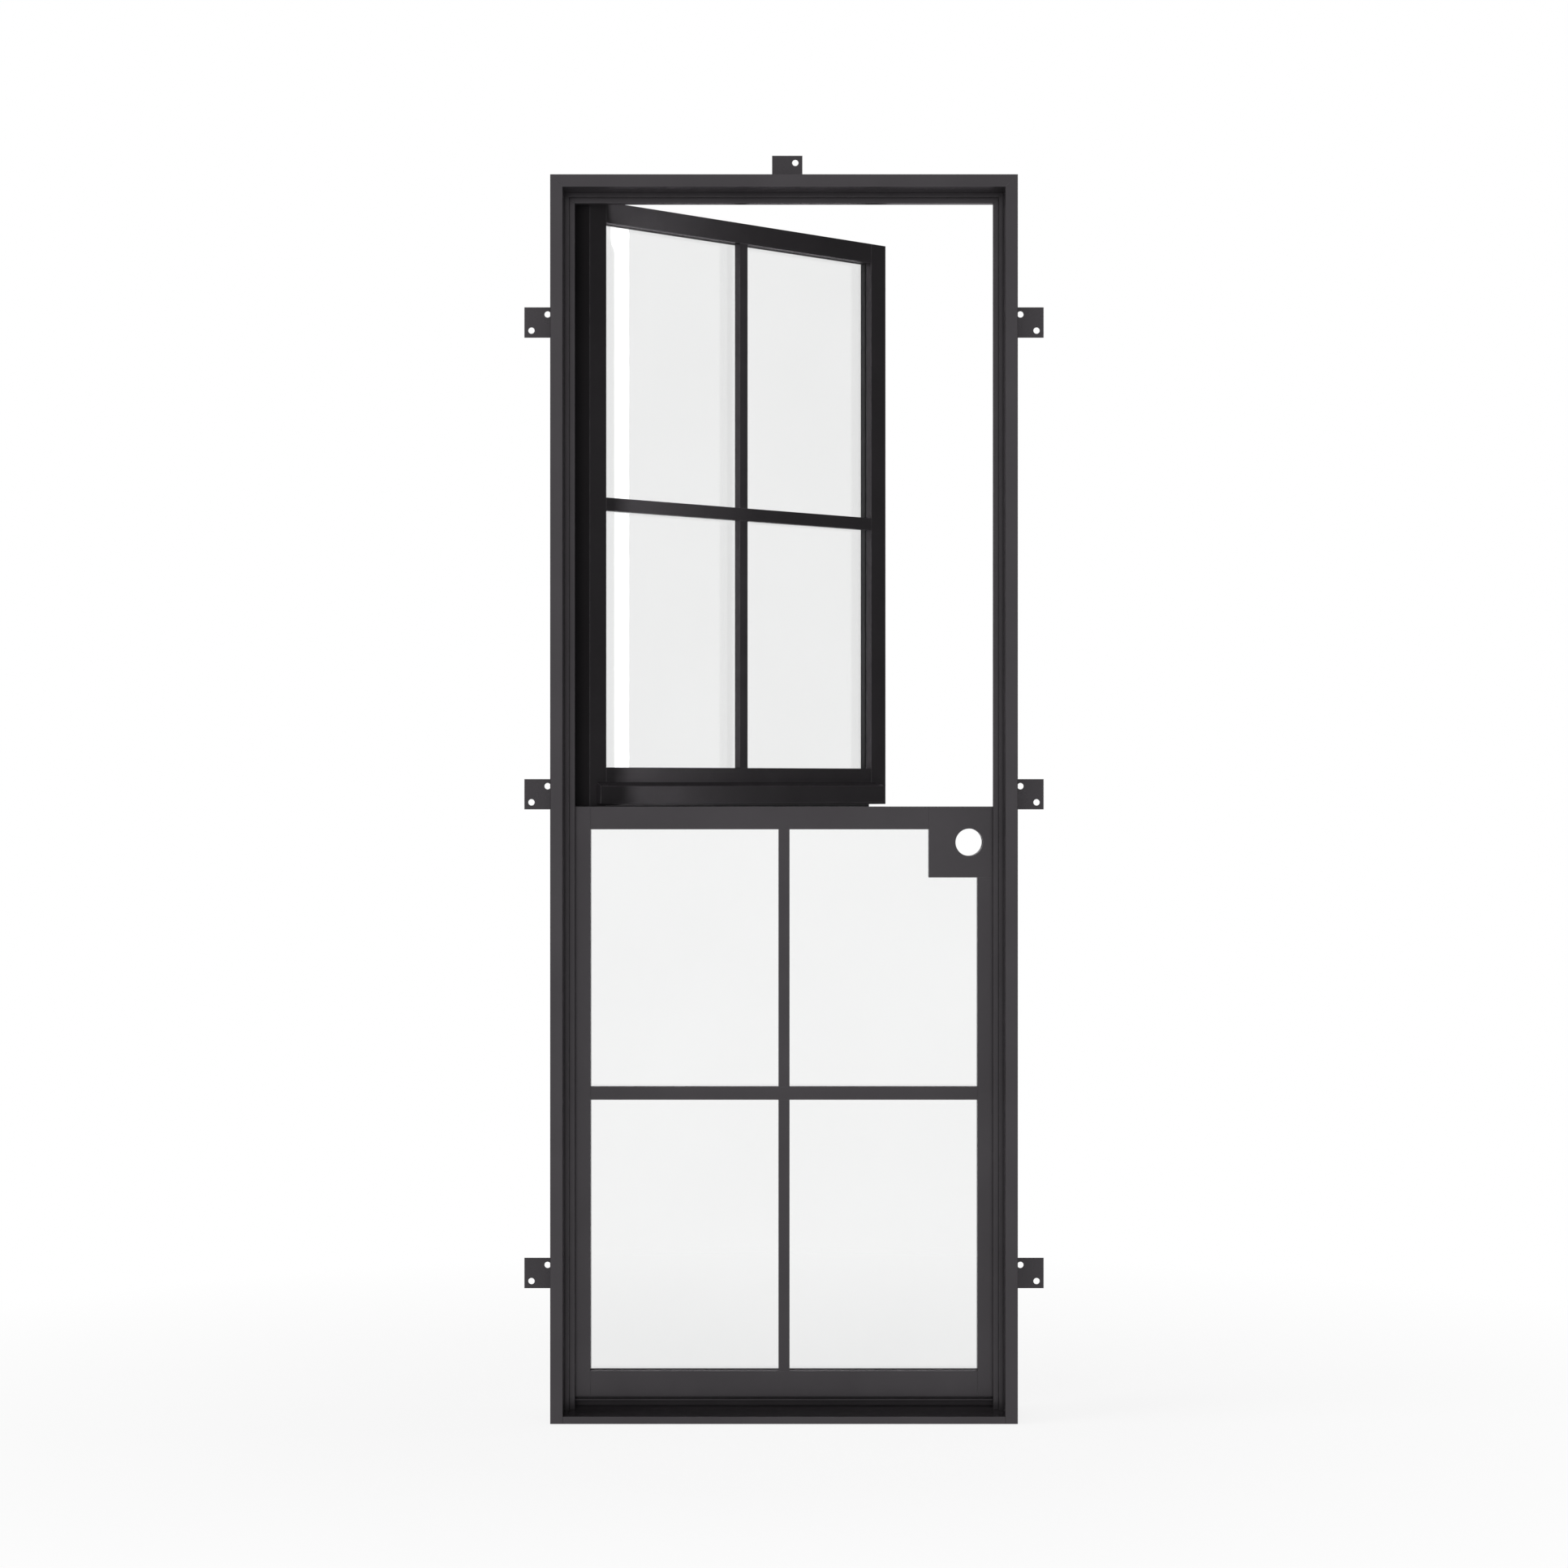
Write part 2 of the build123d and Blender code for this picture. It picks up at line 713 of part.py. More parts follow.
rod_bottom = lower_top + bolt_lift
with BuildPart() as bolt_rod:
    with BuildSketch(opened.offset(rod_bottom)):
        with Locations((bolt_place, bolt_axis_y)):
            Circle(bolt_radius)
    extrude(amount=bolt_length)
    chamfer(bolt_rod.edges().filter_by(GeomType.CIRCLE).group_by(Axis.Z)[0], bolt_edge)
    with BuildSketch(opened.offset(rod_bottom + bolt_length - knob_length)):
        with Locations((bolt_place, bolt_axis_y)):
            Circle(bolt_standoff - knob_gap)
    extrude(amount=knob_length)
    fillet(bolt_rod.edges().filter_by(GeomType.CIRCLE).group_by(Axis.Z)[-1], knob_edge)
keep(bolt_rod, "bolt_rod")

keeper_depth = bolt_axis_y + bolt_standoff - leaf_back
with BuildPart() as bolt_keeper:
    with BuildSketch(shut.offset(lower_top - keeper_drop - keeper_height)):
        with Locations((bolt_place, leaf_back + keeper_depth / 2)):
            Rectangle(guide_width, keeper_depth)
        with Locations((bolt_place, bolt_axis_y)):
            Circle(bolt_radius + keeper_clearance, mode=Mode.SUBTRACT)
    extrude(amount=keeper_height)
    chamfer(bolt_keeper.faces().sort_by(Axis.Y)[-1].edges(), guide_edge)
keep(bolt_keeper, "bolt_keeper")
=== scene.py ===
import json
import math

import bmesh
import bpy
from mathutils import Matrix, Vector


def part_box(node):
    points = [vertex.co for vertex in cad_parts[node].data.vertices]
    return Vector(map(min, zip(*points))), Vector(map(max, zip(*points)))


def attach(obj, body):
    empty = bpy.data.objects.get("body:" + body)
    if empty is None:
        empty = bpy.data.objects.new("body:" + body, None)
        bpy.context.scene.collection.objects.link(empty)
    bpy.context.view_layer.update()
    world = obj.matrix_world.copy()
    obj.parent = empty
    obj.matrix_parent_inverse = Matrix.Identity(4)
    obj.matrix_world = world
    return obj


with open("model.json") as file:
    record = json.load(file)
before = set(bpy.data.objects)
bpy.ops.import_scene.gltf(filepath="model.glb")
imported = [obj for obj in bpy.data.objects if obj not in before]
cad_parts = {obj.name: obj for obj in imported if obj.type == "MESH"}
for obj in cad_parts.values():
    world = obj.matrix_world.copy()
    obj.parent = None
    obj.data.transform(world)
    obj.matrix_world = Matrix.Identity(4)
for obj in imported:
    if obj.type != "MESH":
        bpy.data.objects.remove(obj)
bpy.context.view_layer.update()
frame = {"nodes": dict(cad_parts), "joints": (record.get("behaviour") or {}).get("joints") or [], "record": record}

scene = bpy.context.scene

# Directions in the shared frame: the outside is at -Y and the leaves swing inward, to +Y
RIGHT = Vector((1, 0, 0))
INWARD = Vector((0, 1, 0))
UP = Vector((0, 0, 1))

# Places in the frame, in metres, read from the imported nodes
FRONT_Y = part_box("hinge_jamb")[0][1]
BACK_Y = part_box("hinge_jamb")[1][1]
HINGE_JOINT = next(j for j in frame["joints"] if j["name"] == "upper_leaf_hinge")
HINGE = Vector(HINGE_JOINT["pos_m"])
LEAF_BACK_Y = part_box("lower_hinge_stile")[1][1]
BEAD_BACK_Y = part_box("lower_bead")[1][1]
SIGHT_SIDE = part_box("lower_cross_bar")[1][0]
LOCK_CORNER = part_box("lock_box")[0]

# The leaf's own axes: the lower leaf is shut, and the upper one is turned about the hinge line
OPEN_ANGLE = math.radians(45)
SHUT = Matrix.Identity(4)
SWUNG = (
    Matrix.Translation(HINGE)
    @ Matrix.Rotation(OPEN_ANGLE, 4, "Z")
    @ Matrix.Translation(-HINGE)
)
LEAVES = {"lower": SHUT, "upper": SWUNG}


# Node helpers
def new_material(name):
    material = bpy.data.materials.new(name)
    material.use_nodes = True
    tree = material.node_tree
    tree.nodes.clear()
    out = tree.nodes.new("ShaderNodeOutputMaterial")
    return material, tree, out


def add(tree, kind, **values):
    node = tree.nodes.new(kind)
    for key, value in values.items():
        setattr(node, key, value)
    return node


def plug(tree, socket, value):
    """Links another node's socket, or sets a plain value."""
    if isinstance(value, bpy.types.NodeSocket):
        tree.links.new(value, socket)
    else:
        socket.default_value = value


def feed(tree, node, **values):
    """Plugs sockets by name, with underscores for spaces."""
    for key, value in values.items():
        plug(tree, node.inputs[key.replace("_", " ")], value)
    return node


def noise(tree, place, scale, detail=3.0):
    node = add(tree, "ShaderNodeTexNoise")
    feed(tree, node, Vector=place, Scale=scale, Detail=detail, Roughness=0.55)
    return node.outputs["Fac"]


def spread(tree, value, low, high, start=0.3, stop=0.7):
    """Stretches the part of a value from start to stop over low to high."""
    node = add(tree, "ShaderNodeMapRange")
    feed(tree, node, Value=value, From_Min=start, From_Max=stop, To_Min=low, To_Max=high)
    return node.outputs["Result"]


# The Mix node's sockets for colour
MIX_SHARE, MIX_FIRST, MIX_SECOND, MIX_RESULT = 0, 6, 7, 2


def mix(tree, share, first, second):
    node = add(tree, "ShaderNodeMix", data_type="RGBA")
    plug(tree, node.inputs[MIX_SHARE], share)
    plug(tree, node.inputs[MIX_FIRST], first)
    plug(tree, node.inputs[MIX_SECOND], second)
    return node.outputs[MIX_RESULT]


def combine(tree, operation, first, second):
    node = add(tree, "ShaderNodeMath", operation=operation)
    tree.links.new(first, node.inputs[0])
    tree.links.new(second, node.inputs[1])
    return node.outputs["Value"]


def mix_shaders(tree, share, first, second):
    node = feed(tree, add(tree, "ShaderNodeMixShader"), Fac=share)
    tree.links.new(first, node.inputs[1])
    tree.links.new(second, node.inputs[2])
    return node.outputs["Shader"]


def bump(tree, height, strength, distance, **under):
    """A bumped normal, on top of another one where under gives Normal."""
    node = add(tree, "ShaderNodeBump")
    feed(tree, node, Strength=strength, Distance=distance, Height=height, **under)
    return node.outputs["Normal"]


def object_place(tree, stretch=(1, 1, 1)):
    place = add(tree, "ShaderNodeTexCoord").outputs["Object"]
    mapping = feed(tree, add(tree, "ShaderNodeMapping"), Vector=place, Scale=stretch)
    return mapping.outputs["Vector"]


# Coated steel: how far edges and nooks reach in metres, and the masks' ranges
EDGE_RADIUS = 0.0011
EDGE_START, EDGE_STOP = 0.78, 0.99
NOOK_REACH = 0.0045
NOOK_START, NOOK_STOP = 0.35, 0.85
RAY_SAMPLES = 6
# Colour of the painted shade that darkens nooks and creases
PAINTED_NOOK_SHADE = (0.010, 0.0095, 0.010, 1)
GRAZING_TINT = (0.5, 0.48, 0.5, 1)
COAT_ROUGH_SWING = 0.03


def soft_edges(tree):
    """Normals rounded over the sharp edges, and a mask that is one on those edges."""
    bevel = feed(tree, add(tree, "ShaderNodeBevel", samples=RAY_SAMPLES), Radius=EDGE_RADIUS)
    rounded = bevel.outputs["Normal"]
    flat = add(tree, "ShaderNodeNewGeometry").outputs["True Normal"]
    dot = add(tree, "ShaderNodeVectorMath", operation="DOT_PRODUCT")
    tree.links.new(rounded, dot.inputs[0])
    tree.links.new(flat, dot.inputs[1])
    mask = spread(tree, dot.outputs["Value"], 1.0, 0.0, start=EDGE_START, stop=EDGE_STOP)
    return rounded, mask


def coated_steel(name, dark, light, edge_wear_and_highlight, rough, metal):
    """Satin powder coat: clouded colour, orange peel, painted shade in nooks, and edges painted lighter as rubbed
    wear and painted highlight.
    """
    material, tree, out = new_material(name)
    place = object_place(tree)
    rounded, edge = soft_edges(tree)
    cloud = spread(tree, noise(tree, place, scale=5.0, detail=5.0), 0.0, 1.0)
    colour = mix(tree, cloud, dark, light)
    patches = spread(tree, noise(tree, place, scale=38.0), 0.1, 0.9)
    # Edges painted lighter in patches: partly rubbed wear, partly a painted highlight along the edges
    colour = mix(tree, combine(tree, "MULTIPLY", edge, patches), colour, edge_wear_and_highlight)
    # Painted shade: ambient occlusion darkens the colour towards the shade colour in nooks and creases
    nook = add(tree, "ShaderNodeAmbientOcclusion", samples=RAY_SAMPLES, only_local=True)
    feed(tree, nook, Distance=NOOK_REACH)
    unshaded = spread(tree, nook.outputs["AO"], 0.0, 1.0, start=NOOK_START, stop=NOOK_STOP)
    colour = mix(tree, unshaded, PAINTED_NOOK_SHADE, colour)
    peel = noise(tree, place, scale=1400.0, detail=2.0)
    wave = noise(tree, place, scale=220.0, detail=2.0)
    fine = bump(tree, peel, strength=0.14, distance=0.0003, Normal=rounded)
    normal = bump(tree, wave, strength=0.015, distance=0.0006, Normal=fine)
    sheen = noise(tree, place, scale=17.0)
    roughness = spread(tree, sheen, rough - COAT_ROUGH_SWING, rough + COAT_ROUGH_SWING)
    shader = add(tree, "ShaderNodeBsdfPrincipled")
    feed(tree, shader, Base_Color=colour, Normal=normal, Roughness=roughness)
    feed(tree, shader, Metallic=metal, Specular_IOR_Level=0.0, Specular_Tint=GRAZING_TINT)
    tree.links.new(shader.outputs["BSDF"], out.inputs["Surface"])
    return material


def rubber(name, dark, light):
    """Matt black rubber with a fine grain."""
    material, tree, out = new_material(name)
    place = object_place(tree)
    cloud = spread(tree, noise(tree, place, scale=24.0, detail=4.0), 0.0, 1.0)
    normal = bump(tree, noise(tree, place, scale=700.0), strength=0.15, distance=0.0004)
    roughness = spread(tree, noise(tree, place, scale=60.0), 0.62, 0.82)
    shader = add(tree, "ShaderNodeBsdfPrincipled")
    feed(tree, shader, Base_Color=mix(tree, cloud, dark, light), Normal=normal)
    feed(tree, shader, Roughness=roughness, Specular_IOR_Level=0.25)
    tree.links.new(shader.outputs["BSDF"], out.inputs["Surface"])
    return material


def glass(name, tint, thin):
    """Clear float glass with a faint wave, that lets light through to what stands behind it."""
    material, tree, out = new_material(name)
    place = object_place(tree)
    cloud = spread(tree, noise(tree, place, scale=3.0), 0.0, 1.0)
    normal = bump(tree, noise(tree, place, scale=4.0), strength=0.004, distance=0.001)
    roughness = spread(tree, noise(tree, place, scale=12.0), 0.0, 0.004)
    shader = add(tree, "ShaderNodeBsdfPrincipled")
    feed(tree, shader, Base_Color=mix(tree, cloud, tint, thin), Normal=normal)
    feed(tree, shader, Roughness=roughness, Transmission_Weight=1.0, IOR=1.52)
    clear = add(tree, "ShaderNodeBsdfTransparent")
    shadow = add(tree, "ShaderNodeLightPath").outputs["Is Shadow Ray"]
    both = mix_shaders(tree, shadow, shader.outputs["BSDF"], clear.outputs["BSDF"])
    tree.links.new(both, out.inputs["Surface"])
    return material


def bare_metal(name, dark, light, stretch, smoothest, roughest):
    """Turned metal with fine lines along the stretched axis."""
    material, tree, out = new_material(name)
    lines = noise(tree, object_place(tree, stretch), scale=260.0, detail=4.0)
    colour = mix(tree, spread(tree, lines, 0.0, 1.0), dark, light)
    normal = bump(tree, lines, strength=0.12, distance=0.0002)
    roughness = spread(tree, lines, smoothest, roughest)
    shader = add(tree, "ShaderNodeBsdfPrincipled")
    feed(tree, shader, Base_Color=colour, Metallic=1.0, Normal=normal, Roughness=roughness)
    tree.links.new(shader.outputs["BSDF"], out.inputs["Surface"])
    return material


MATERIALS = {
    "black_steel": coated_steel(
        "black_steel",
        dark=(0.0555, 0.0518, 0.0555, 1),
        light=(0.0645, 0.0603, 0.0645, 1),
        edge_wear_and_highlight=(0.165, 0.160, 0.165, 1),
        rough=0.24,
        metal=0.65,
    ),
    "tab_steel": coated_steel(
        "tab_steel",
        dark=(0.0545, 0.0508, 0.0545, 1),
        light=(0.0635, 0.0593, 0.0635, 1),
        edge_wear_and_highlight=(0.160, 0.155, 0.160, 1),
        rough=0.28,
        metal=0.65,
    ),
    "black_rubber": rubber(
        "black_rubber",
        dark=(0.010, 0.010, 0.011, 1),
        light=(0.020, 0.020, 0.021, 1),
    ),
    "glass": glass(
        "glass",
        tint=(0.940, 0.942, 0.941, 1),
        thin=(0.948, 0.950, 0.949, 1),
    ),
    "spacer_bar": coated_steel(
        "spacer_bar",
        dark=(0.050, 0.050, 0.051, 1),
        light=(0.064, 0.064, 0.065, 1),
        edge_wear_and_highlight=(0.07, 0.07, 0.07, 1),
        rough=0.5,
        metal=0.6,
    ),
    "pin_steel": bare_metal(
        "pin_steel",
        dark=(0.42, 0.42, 0.43, 1),
        light=(0.62, 0.62, 0.63, 1),
        stretch=(0.08, 0.08, 1),
        smoothest=0.22,
        roughest=0.4,
    ),
}

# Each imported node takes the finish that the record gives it
SLOT_OF = {part["node"]: part["material_slot"] for part in frame["record"]["subparts"]}
for node_name, node_object in frame["nodes"].items():
    node_object.data.materials.clear()
    node_object.data.materials.append(MATERIALS[SLOT_OF[node_name]])


# Mesh helpers
SCREW_SMOOTHING = 40
WELD_SMOOTHING = 60


def piece(name, mesh_builder, body, slot_name, smoothing):
    """A smoothed mesh that rides on a body and takes one of the record's finishes."""
    mesh = bpy.data.meshes.new(name)
    shape = bmesh.new()
    mesh_builder(shape)
    bmesh.ops.recalc_face_normals(shape, faces=shape.faces)
    shape.to_mesh(mesh)
    shape.free()
    mesh.materials.append(MATERIALS[slot_name])
    for face in mesh.polygons:
        face.use_smooth = True
    mesh.set_sharp_from_angle(angle=math.radians(smoothing))
    made = bpy.data.objects.new(name, mesh)
    scene.collection.objects.link(made)
    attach(made, body)


def facing_matrix(place, outward, turn):
    """Puts local +Z on the outward direction at a place."""
    facing = outward.to_track_quat("Z", "Y").to_matrix().to_4x4()
    return Matrix.Translation(place) @ facing @ Matrix.Rotation(turn, 4, "Z")


def bridge(shape, loops):
    """Closes a run of equal loops into a solid with flat ends."""
    count = len(loops[0])
    for low, high in zip(loops, loops[1:]):
        for k in range(count):
            after = (k + 1) % count
            shape.faces.new((low[k], low[after], high[after], high[k]))
    shape.faces.new(loops[0][::-1])
    shape.faces.new(loops[-1])


# Rings of a screw's head, as shares of its radius and height, and those of its six-sided socket
SCREW_SIDES = 24
HEAD_RINGS = ((1.0, 0.0), (1.0, 0.35), (0.93, 0.68), (0.78, 0.92), (0.62, 1.0))
SOCKET_RINGS = ((0.46, 1.0), (0.4416, 0.35))


def screw_head(shape, matrix, radius, height):
    """A pan-head screw with a six-sided socket, standing on its own plane."""
    half_flat = math.pi / 6
    loops = []
    for rings, six in ((HEAD_RINGS, False), (SOCKET_RINGS, True)):
        for radius_share, height_share in rings:
            loop = []
            for k in range(SCREW_SIDES):
                angle = 2 * math.pi * k / SCREW_SIDES
                reach = radius * radius_share
                if six:
                    reach /= math.cos((angle + half_flat) % (2 * half_flat) - half_flat)
                x, y = reach * math.cos(angle), reach * math.sin(angle)
                loop.append(shape.verts.new(matrix @ Vector((x, y, height * height_share))))
            loops.append(loop)
    bridge(shape, loops)


# A weld's make-up: lengths are shares of its leg
WELD_STEP = 0.22
WELD_STEPS_LEAST = 12
WELD_ARC_POINTS = 7
WELD_RIPPLE = 0.09
WELD_RIPPLE_PITCH = 0.9
WELD_END = 0.35
WELD_ROOT = 0.08
WELD_HOLLOW = 0.20


def weld_bead(shape, start, end, first_wall, second_wall, leg):
    """A fillet weld between two walls that meet along a line, with the ripples of its passes."""
    length = (end - start).length
    steps = max(int(length / (leg * WELD_STEP)), WELD_STEPS_LEAST)
    loops = []
    for i in range(steps + 1):
        along = i / steps
        centre = start.lerp(end, along)
        passes = along * length / (leg * WELD_RIPPLE_PITCH)
        swell = 1.0 + WELD_RIPPLE * abs(math.sin(passes * math.pi))
        taper = min(1.0, WELD_END + min(along, 1 - along) * length / leg)
        loop = [shape.verts.new(centre - (first_wall + second_wall) * leg * WELD_ROOT)]
        for k in range(WELD_ARC_POINTS):
            turn = math.pi / 2 * k / (WELD_ARC_POINTS - 1)
            full = 1 - WELD_HOLLOW + WELD_HOLLOW * abs(math.cos(2 * turn))
            toward = first_wall * math.cos(turn) + second_wall * math.sin(turn)
            loop.append(shape.verts.new(centre + toward * leg * swell * taper * full))
        loops.append(loop)
    bridge(shape, loops)


# Screws along the flat of each glazing bead: sizes in the shut position, in metres
BEAD_FLAT = 0.0167
BEAD_REBATE = 0.0212
BEAD_SCREWS_ACROSS = 4
BEAD_SCREWS_UP = 5
BEAD_SCREW_RADIUS, BEAD_SCREW_HEIGHT = 0.0034, 0.0021
BEAD_SCREW_TURN = 0.7
LOCK_MARGIN = 0.02


def bead_screw_places(low_z, high_z, corner):
    """Screw places x, z in the shut position, outside the lock box's corner where there is one."""
    side = SIGHT_SIDE + BEAD_FLAT
    bottom = low_z + BEAD_REBATE - BEAD_FLAT
    top = high_z - BEAD_REBATE + BEAD_FLAT
    places = []
    for k in range(BEAD_SCREWS_ACROSS):
        x = -side + 2 * side * (k + 0.5) / BEAD_SCREWS_ACROSS
        places.append((x, bottom))
        if not corner or x < corner[0]:
            places.append((x, top))
    for k in range(BEAD_SCREWS_UP):
        z = bottom + (top - bottom) * (k + 0.5) / BEAD_SCREWS_UP
        places.append((-side, z))
        if not corner or z < corner[1]:
            places.append((side, z))
    return places


def bead_screws(matrix, places):
    def build(shape):
        for n, (x, z) in enumerate(places):
            place = Vector((x, BEAD_BACK_Y, z))
            at = matrix @ facing_matrix(place, INWARD, turn=n * BEAD_SCREW_TURN)
            screw_head(shape, at, BEAD_SCREW_RADIUS, BEAD_SCREW_HEIGHT)
    return build


LOCK_LIMITS = {
    "lower": (LOCK_CORNER[0] - LOCK_MARGIN, LOCK_CORNER[2] - LOCK_MARGIN),
    "upper": None,
}
for leaf, matrix in LEAVES.items():
    bead_low, bead_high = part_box(f"{leaf}_bead")
    screw_places = bead_screw_places(bead_low[2], bead_high[2], LOCK_LIMITS[leaf])
    piece(
        f"{leaf}_bead_screws",
        bead_screws(matrix, screw_places),
        f"{leaf}_leaf",
        "black_steel",
        SCREW_SMOOTHING,
    )

# Screws of the bar that clamps the meeting blade
BLADE_AND_CLAMP = 0.006
CLAMP_BACK_Y = LEAF_BACK_Y + BLADE_AND_CLAMP
CLAMP_LOW, CLAMP_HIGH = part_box("blade_clamp")
CLAMP_MIDDLE_Z = (CLAMP_LOW[2] + CLAMP_HIGH[2]) / 2
CLAMP_SCREWS = 9
CLAMP_FIRST_X, CLAMP_PITCH = -0.375, 0.0855
CLAMP_SCREW_RADIUS, CLAMP_SCREW_HEIGHT = 0.0042, 0.0027
CLAMP_SCREW_TURN = 0.5


def clamp_screws(shape):
    for n in range(CLAMP_SCREWS):
        place = Vector((CLAMP_FIRST_X + CLAMP_PITCH * n, CLAMP_BACK_Y, CLAMP_MIDDLE_Z))
        at = SWUNG @ facing_matrix(place, INWARD, turn=n * CLAMP_SCREW_TURN)
        screw_head(shape, at, CLAMP_SCREW_RADIUS, CLAMP_SCREW_HEIGHT)


piece("clamp_screws", clamp_screws, "upper_leaf", "black_steel", SCREW_SMOOTHING)

# Screws through the bolt's keeper on the lower leaf and its guide on the upper one
BOLT_X = 0.352
BOLT_SCREW_REACH = 0.0108
BOLT_SCREW_RADIUS, BOLT_SCREW_HEIGHT = 0.003, 0.002
BOLT_PLATE_BACK_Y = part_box("bolt_keeper")[1][1]
KEEPER_SCREW_TURN, GUIDE_SCREW_TURN = 40, 50


def bolt_screws(node, matrix, turn):
    low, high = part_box(node)

    def build(shape):
        for reach in (-BOLT_SCREW_REACH, BOLT_SCREW_REACH):
            place = Vector((BOLT_X + reach, BOLT_PLATE_BACK_Y, (low[2] + high[2]) / 2))
            at = matrix @ facing_matrix(place, INWARD, turn=reach * turn)
            screw_head(shape, at, BOLT_SCREW_RADIUS, BOLT_SCREW_HEIGHT)
    return build


piece(
    "keeper_screws",
    bolt_screws("bolt_keeper", SHUT, KEEPER_SCREW_TURN),
    "lower_leaf",
    "black_steel",
    SCREW_SMOOTHING,
)
piece(
    "guide_screws",
    bolt_screws("bolt_guide", SWUNG, GUIDE_SCREW_TURN),
    "upper_leaf",
    "black_steel",
    SCREW_SMOOTHING,
)

# Welds that hold the tabs to the frame
TABS = [name for name in frame["nodes"] if name.startswith("tab_")]
TAB_WELD_INSET = 0.008
TAB_WELD_LEG = 0.0032


def tab_welds(shape):
    for name in TABS:
        low, high = (Vector(corner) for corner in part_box(name))
        if name == "tab_head":
            start = Vector((low.x + TAB_WELD_INSET, high.y, low.z))
            end = Vector((high.x - TAB_WELD_INSET, high.y, low.z))
            tab_wall = UP
        else:
            on_left = high.x < 0
            x = high.x if on_left else low.x
            start = Vector((x, high.y, low.z + TAB_WELD_INSET))
            end = Vector((x, high.y, high.z - TAB_WELD_INSET))
            tab_wall = -RIGHT if on_left else RIGHT
        weld_bead(shape, start, end, tab_wall, INWARD, TAB_WELD_LEG)


piece("tab_welds", tab_welds, "frame", "tab_steel", WELD_SMOOTHING)

# Welds round the hinge wings, which stop short of the barrel's chamfered end
HINGE_WELD_LEG = 0.0024
BARREL_EDGE = 0.0012
FRAME_WELD_INSET = 0.001
FRAME_WELD_LENGTH = 0.0135
LEAF_WING_LENGTH = 0.040
LEAF_WELD_LENGTH = 0.024


def frame_hinge_welds(shape):
    for n in (1, 2, 3, 4):
        low, high = (Vector(corner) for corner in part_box(f"hinge_{n}_frame_half"))
        run = RIGHT * FRAME_WELD_LENGTH
        top = Vector((low.x + FRAME_WELD_INSET, BACK_Y, high.z))
        weld_bead(shape, top, top + run, INWARD, UP, HINGE_WELD_LEG)
        foot = Vector((low.x + FRAME_WELD_INSET, BACK_Y, low.z + BARREL_EDGE))
        weld_bead(shape, foot, foot + run, INWARD, -UP, HINGE_WELD_LEG)


def leaf_hinge_welds(matrix, numbers):
    def build(shape):
        turn = matrix.to_3x3()
        inward, along = turn @ INWARD, turn @ RIGHT
        end_x = HINGE.x + LEAF_WING_LENGTH
        start_x = end_x - LEAF_WELD_LENGTH
        for n in numbers:
            low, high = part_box(f"hinge_{n}_leaf_half")
            low_z, high_z = low[2], high[2] - BARREL_EDGE
            for z, outward in ((high_z, UP), (low_z, -UP)):
                start = matrix @ Vector((start_x, LEAF_BACK_Y, z))
                end = matrix @ Vector((end_x, LEAF_BACK_Y, z))
                weld_bead(shape, start, end, inward, outward, HINGE_WELD_LEG)
            start = matrix @ Vector((end_x, LEAF_BACK_Y, low_z))
            end = matrix @ Vector((end_x, LEAF_BACK_Y, high_z))
            weld_bead(shape, start, end, inward, along, HINGE_WELD_LEG)
    return build


piece("frame_hinge_welds", frame_hinge_welds, "frame", "black_steel", WELD_SMOOTHING)
for leaf, numbers in (("lower", (1, 2)), ("upper", (3, 4))):
    piece(
        f"{leaf}_hinge_welds",
        leaf_hinge_welds(LEAVES[leaf], numbers),
        f"{leaf}_leaf",
        "black_steel",
        WELD_SMOOTHING,
    )


# Floor and cards
FLOOR_GLOW_NEAR, FLOOR_GLOW_FAR = 0.86, 1.0
FLOOR_GLOW_START, FLOOR_GLOW_STOP = 0.7, 2.4
FLOOR_HALF = 30.0
FLOOR_Z = -0.0005
CARD_X, CARD_FRONT, CARD_BACK, CARD_TOP = 3.2, -2.4, 2.8, 4.0


def matt(tree, place, scale, dark, light):
    node = add(tree, "ShaderNodeBsdfDiffuse")
    cloud = spread(tree, noise(tree, place, scale), 0.0, 1.0)
    feed(tree, node, Color=mix(tree, cloud, dark, light))
    return node.outputs["BSDF"]


def floor_material():
    """Pale, and bright enough to run into the white background further off."""
    material, tree, out = new_material("pale_floor")
    place = object_place(tree)
    pale = matt(
        tree,
        place,
        scale=1.5,
        dark=(0.82, 0.82, 0.82, 1),
        light=(0.86, 0.86, 0.86, 1),
    )
    glow = feed(tree, add(tree, "ShaderNodeEmission"), Color=(1, 1, 1, 1), Strength=1.0)
    reach = add(tree, "ShaderNodeVectorMath", operation="LENGTH")
    tree.links.new(place, reach.inputs[0])
    share = spread(
        tree,
        reach.outputs["Value"],
        FLOOR_GLOW_NEAR,
        FLOOR_GLOW_FAR,
        start=FLOOR_GLOW_START,
        stop=FLOOR_GLOW_STOP,
    )
    both = mix_shaders(tree, share, pale, glow.outputs["Emission"])
    tree.links.new(both, out.inputs["Surface"])
    return material


def card_material():
    material, tree, out = new_material("dark_card")
    place = object_place(tree)
    card = matt(
        tree,
        place,
        scale=2.0,
        dark=(0.03, 0.03, 0.03, 1),
        light=(0.04, 0.04, 0.04, 1),
    )
    tree.links.new(card, out.inputs["Surface"])
    return material


def backdrop(name, corners, material):
    mesh = bpy.data.meshes.new(name)
    mesh.from_pydata(corners, [], [(0, 1, 2, 3)])
    mesh.materials.append(material)
    made = bpy.data.objects.new(name, mesh)
    scene.collection.objects.link(made)
    return made


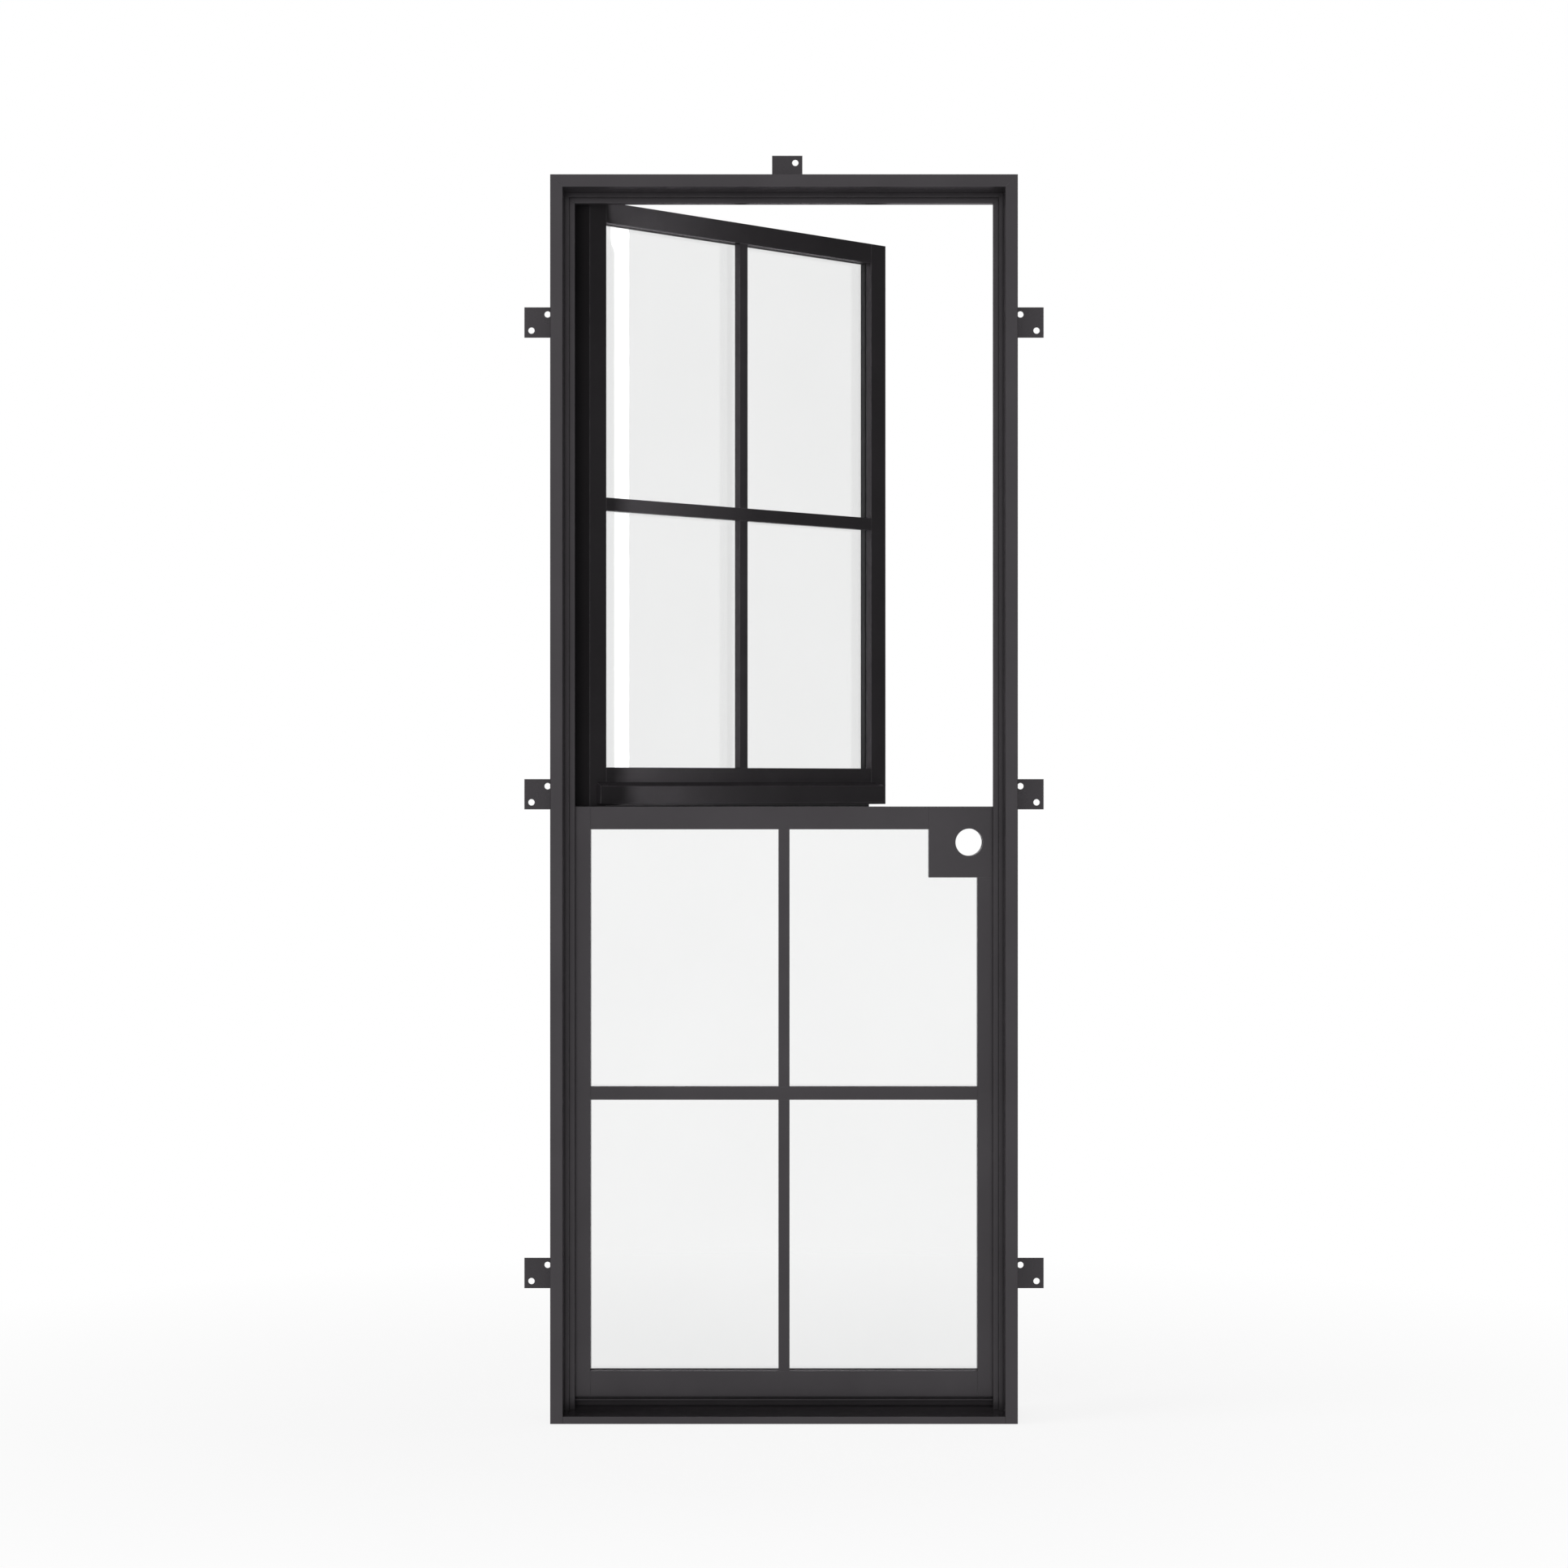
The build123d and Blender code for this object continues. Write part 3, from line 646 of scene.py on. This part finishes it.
FLOOR_CORNERS = [
    (-FLOOR_HALF, -FLOOR_HALF, FLOOR_Z),
    (FLOOR_HALF, -FLOOR_HALF, FLOOR_Z),
    (FLOOR_HALF, FLOOR_HALF, FLOOR_Z),
    (-FLOOR_HALF, FLOOR_HALF, FLOOR_Z),
]
backdrop("floor", FLOOR_CORNERS, floor_material())

# Dark cards at both sides, out of the camera's sight, which the open leaf and the reveals mirror
CARD_FINISH = card_material()
for card_name, x in (("card_right", CARD_X), ("card_left", -CARD_X)):
    card_corners = [
        (x, CARD_FRONT, 0),
        (x, CARD_BACK, 0),
        (x, CARD_BACK, CARD_TOP),
        (x, CARD_FRONT, CARD_TOP),
    ]
    card = backdrop(card_name, card_corners, CARD_FINISH)
    card.visible_camera = False
    card.visible_transmission = False

# White background for the camera and for what shines or is seen through, and a softer fill
# for the rest
world = bpy.data.worlds.new("studio")
scene.world = world
world.use_nodes = True
world_tree = world.node_tree
world_tree.nodes.clear()
path = add(world_tree, "ShaderNodeLightPath").outputs
seen = combine(world_tree, "MAXIMUM", path["Is Camera Ray"], path["Is Glossy Ray"])
seen = combine(world_tree, "MAXIMUM", seen, path["Is Transmission Ray"])
white = add(world_tree, "ShaderNodeBackground")
feed(world_tree, white, Color=(1, 1, 1, 1), Strength=1.0)
fill = add(world_tree, "ShaderNodeBackground")
feed(world_tree, fill, Color=(1.0, 0.985, 1.0, 1), Strength=0.5)
world_out = add(world_tree, "ShaderNodeOutputWorld")
world_tree.links.new(
    mix_shaders(world_tree, seen, fill.outputs["Background"], white.outputs["Background"]),
    world_out.inputs["Surface"],
)


def softbox(name, place, target, width, height, power):
    data = bpy.data.lights.new(name, "AREA")
    data.shape = "RECTANGLE"
    data.size = width
    data.size_y = height
    data.energy = power
    light = bpy.data.objects.new(name, data)
    light.location = place
    light.rotation_euler = (Vector(target) - Vector(place)).to_track_quat("-Z", "Y").to_euler()
    light.visible_camera = False
    light.visible_transmission = False
    scene.collection.objects.link(light)
    return light


# A broad key in front and a high fill, which nothing mirrors, and a narrow strip at the right
# that puts the sheen on the open leaf and the white band in its glass
key = softbox(
    "key",
    place=(-1.0, -7.6, 1.9),
    target=(0, 0, 1.25),
    width=3.6,
    height=3.2,
    power=208,
)
key.visible_glossy = False
top = softbox(
    "top",
    place=(-9.0, -3.5, 13.0),
    target=(0, 0, 0),
    width=6.0,
    height=6.0,
    power=800,
)
top.visible_glossy = False
softbox(
    "strip",
    place=(1.6, 0.034, 2.0),
    target=(-0.3, 0.12, 2.0),
    width=0.046,
    height=2.0,
    power=2.9,
)

# Camera: level, square to the frame
LENS_MM, SENSOR_MM = 80, 36
CAMERA_AWAY, CAMERA_HEIGHT = 6.763, 1.2423
camera_data = bpy.data.cameras.new("camera")
camera_data.lens = LENS_MM
camera_data.sensor_width = SENSOR_MM
camera = bpy.data.objects.new("camera", camera_data)
camera.location = (0, FRONT_Y - CAMERA_AWAY, CAMERA_HEIGHT)
camera.rotation_euler = (math.radians(90), 0, 0)
scene.collection.objects.link(camera)
scene.camera = camera
scene.view_settings.view_transform = "Standard"
